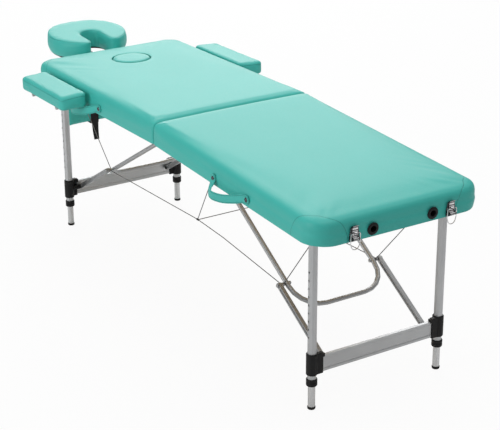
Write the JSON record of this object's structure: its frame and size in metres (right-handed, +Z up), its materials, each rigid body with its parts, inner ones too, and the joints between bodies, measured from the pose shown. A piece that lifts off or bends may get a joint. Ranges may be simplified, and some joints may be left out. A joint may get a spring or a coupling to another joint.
{
  "type": "folding massage table",
  "caption": "Portable padded massage table in two hinged halves, with folding adjustable legs, a crescent headrest, armrests and a hanging hand pallet.",
  "frame": {"origin": "on the floor, below the middle of the whole table's length and width", "axes": "+X along the bed towards the foot end, +Y across it away from the side with the handles, +Z up"},
  "size_m": [2.1988, 0.824, 0.6745],
  "materials": {
    "mint_vinyl": "fine-grained artificial leather, mint green",
    "birch_wood": "clear varnish",
    "aluminium": "satin anodised",
    "black_plastic": "moulded, matte",
    "rubber": "moulded",
    "chrome": "bright plate",
    "steel": "plain",
    "webbing": "woven webbing"
  },
  "bodies": {
    "head_half": {"head_cushion": "mint_vinyl", "head_frame": "birch_wood", "head_hinge": "steel", "head_handle": "mint_vinyl", "head_near_strike": "black_plastic", "head_far_strike": "black_plastic", "wire_ropes": "steel"},
    "foot_half": {"foot_cushion": "mint_vinyl", "foot_frame": "birch_wood", "foot_hinge": "steel", "foot_handle": "mint_vinyl", "foot_near_socket": "black_plastic", "foot_far_socket": "black_plastic", "latch_near_base": "chrome", "latch_far_base": "chrome"},
    "plug": {"face_plug": "mint_vinyl"},
    "headrest": {"headrest_frame": "black_plastic", "headrest_cushion": "mint_vinyl"},
    "pallet": {"pallet_pad": "mint_vinyl", "pallet_sling": "webbing"},
    "head_leg_frame": {"head_crossbar": "aluminium", "head_near_outer_leg": "aluminium", "head_near_leg_bracket": "black_plastic", "head_near_collar": "black_plastic", "head_far_outer_leg": "aluminium", "head_far_leg_bracket": "black_plastic", "head_far_collar": "black_plastic"},
    "head_brace_u": {"head_brace": "aluminium"},
    "head_strut_pair": {"head_near_strut": "aluminium", "head_far_strut": "aluminium"},
    "head_near_lower_leg": {"head_near_inner_leg": "aluminium", "head_near_foot": "rubber"},
    "head_near_snap": {"head_near_button": "chrome"},
    "head_far_lower_leg": {"head_far_inner_leg": "aluminium", "head_far_foot": "rubber"},
    "head_far_snap": {"head_far_button": "chrome"},
    "foot_leg_frame": {"foot_crossbar": "aluminium", "foot_near_outer_leg": "aluminium", "foot_near_leg_bracket": "black_plastic", "foot_near_collar": "black_plastic", "foot_far_outer_leg": "aluminium", "foot_far_leg_bracket": "black_plastic", "foot_far_collar": "black_plastic"},
    "foot_brace_u": {"foot_brace": "aluminium"},
    "foot_strut_pair": {"foot_near_strut": "aluminium", "foot_far_strut": "aluminium"},
    "foot_near_lower_leg": {"foot_near_inner_leg": "aluminium", "foot_near_foot": "rubber"},
    "foot_near_snap": {"foot_near_button": "chrome"},
    "foot_far_lower_leg": {"foot_far_inner_leg": "aluminium", "foot_far_foot": "rubber"},
    "foot_far_snap": {"foot_far_button": "chrome"},
    "armrest_near": {"armrest_near_pad": "mint_vinyl", "armrest_near_frame": "aluminium"},
    "latch_near": {"latch_near_lever": "chrome"},
    "latch_near_ring": {"latch_near_bail": "chrome"},
    "armrest_far": {"armrest_far_pad": "mint_vinyl", "armrest_far_frame": "aluminium"},
    "latch_far": {"latch_far_lever": "chrome"},
    "latch_far_ring": {"latch_far_bail": "chrome"}
  },
  "joints": [
    {"name": "table_fold", "type": "hinge", "parent": "head_half", "child": "foot_half", "pos_m": [0.1524, 0, 0.59], "axis": [0, 1, 0], "range_deg": [0, 90], "deforming": ["wire_ropes"]},
    {"name": "head_leg_fold", "type": "hinge", "parent": "head_half", "child": "head_leg_frame", "pos_m": [-0.67183, 0, 0.58555], "axis": [0, -1, 0], "range_deg": [0, 91.7], "deforming": ["wire_ropes"]},
    {"name": "head_brace_fold", "type": "hinge", "parent": "head_half", "child": "head_brace_u", "pos_m": [0.11568, 0, 0.61362], "axis": [0, 1, 0], "range_deg": [0, 29.73]},
    {"name": "head_strut_fold", "type": "hinge", "parent": "head_leg_frame", "child": "head_strut_pair", "pos_m": [-0.66283, 0, 0.15105], "axis": [0, -1, 0], "range_deg": [0, 58.59]},
    {"name": "head_near_leg_length", "type": "slide", "parent": "head_leg_frame", "child": "head_near_lower_leg", "axis": [0, 0, -1], "range_m": [0, 0.156], "deforming": ["head_near_button"]},
    {"name": "head_near_button_press", "type": "slide", "parent": "head_near_lower_leg", "child": "head_near_snap", "axis": [0, 1, 0], "range_m": [0, 0.0045], "stiffness_N_per_m": 300},
    {"name": "head_far_leg_length", "type": "slide", "parent": "head_leg_frame", "child": "head_far_lower_leg", "axis": [0, 0, -1], "range_m": [0, 0.156], "deforming": ["head_far_button"]},
    {"name": "head_far_button_press", "type": "slide", "parent": "head_far_lower_leg", "child": "head_far_snap", "axis": [0, -1, 0], "range_m": [0, 0.0045], "stiffness_N_per_m": 300},
    {"name": "foot_leg_fold", "type": "hinge", "parent": "foot_half", "child": "foot_leg_frame", "pos_m": [0.97663, 0, 0.58555], "axis": [0, 1, 0], "range_deg": [0, 91.7], "deforming": ["wire_ropes"]},
    {"name": "foot_brace_fold", "type": "hinge", "parent": "foot_half", "child": "foot_brace_u", "pos_m": [0.18912, 0, 0.61362], "axis": [0, -1, 0], "range_deg": [0, 29.73]},
    {"name": "foot_strut_fold", "type": "hinge", "parent": "foot_leg_frame", "child": "foot_strut_pair", "pos_m": [0.96763, 0, 0.15105], "axis": [0, 1, 0], "range_deg": [0, 58.59]},
    {"name": "foot_near_leg_length", "type": "slide", "parent": "foot_leg_frame", "child": "foot_near_lower_leg", "axis": [0, 0, -1], "range_m": [0, 0.156], "deforming": ["foot_near_button"]},
    {"name": "foot_near_button_press", "type": "slide", "parent": "foot_near_lower_leg", "child": "foot_near_snap", "axis": [0, 1, 0], "range_m": [0, 0.0045], "stiffness_N_per_m": 300},
    {"name": "foot_far_leg_length", "type": "slide", "parent": "foot_leg_frame", "child": "foot_far_lower_leg", "axis": [0, 0, -1], "range_m": [0, 0.156], "deforming": ["foot_far_button"]},
    {"name": "foot_far_button_press", "type": "slide", "parent": "foot_far_lower_leg", "child": "foot_far_snap", "axis": [0, -1, 0], "range_m": [0, 0.0045], "stiffness_N_per_m": 300},
    {"name": "plug_lift", "type": "slide", "parent": "head_half", "child": "plug", "axis": [-0.0297, 0, 0.9996], "range_m": [0, 0.09]},
    {"name": "headrest_pull", "type": "slide", "parent": "head_half", "child": "headrest", "axis": [-0.9996, 0, -0.0297], "range_m": [0, 0.1]},
    {"name": "pallet_swing", "type": "hinge", "parent": "headrest", "child": "pallet", "pos_m": [-0.9079, 0, 0.58454], "axis": [0, 1, 0], "range_deg": [-20, 20]},
    {"name": "armrest_near_pull", "type": "slide", "parent": "head_half", "child": "armrest_near", "axis": [0, -1, 0], "range_m": [0, 0.05]},
    {"name": "latch_near_open", "type": "hinge", "parent": "foot_half", "child": "latch_near", "pos_m": [1.0949, -0.1703, 0.57603], "axis": [0, 1, 0], "range_deg": [0, 120]},
    {"name": "latch_near_bail_hang", "type": "hinge", "parent": "latch_near", "child": "latch_near_ring", "pos_m": [1.09258, -0.1703, 0.59211], "axis": [0, 1, 0], "range_deg": [-120, 0]},
    {"name": "armrest_far_pull", "type": "slide", "parent": "head_half", "child": "armrest_far", "axis": [0, 1, 0], "range_m": [0, 0.05]},
    {"name": "latch_far_open", "type": "hinge", "parent": "foot_half", "child": "latch_far", "pos_m": [1.0949, 0.1703, 0.57603], "axis": [0, 1, 0], "range_deg": [0, 120]},
    {"name": "latch_far_bail_hang", "type": "hinge", "parent": "latch_far", "child": "latch_far_ring", "pos_m": [1.09258, 0.1703, 0.59211], "axis": [0, 1, 0], "range_deg": [-120, 0]}
  ],
  "couplings": [
    {"joint": "head_brace_fold", "follows": "head_leg_fold", "ratio": 0.32404},
    {"joint": "head_strut_fold", "follows": "head_leg_fold", "ratio": 0.63888},
    {"joint": "foot_brace_fold", "follows": "foot_leg_fold", "ratio": 0.32404},
    {"joint": "foot_strut_fold", "follows": "foot_leg_fold", "ratio": 0.63888},
    {"joint": "latch_near_bail_hang", "follows": "latch_near_open", "ratio": -1},
    {"joint": "latch_far_bail_hang", "follows": "latch_far_open", "ratio": -1}
  ]
}
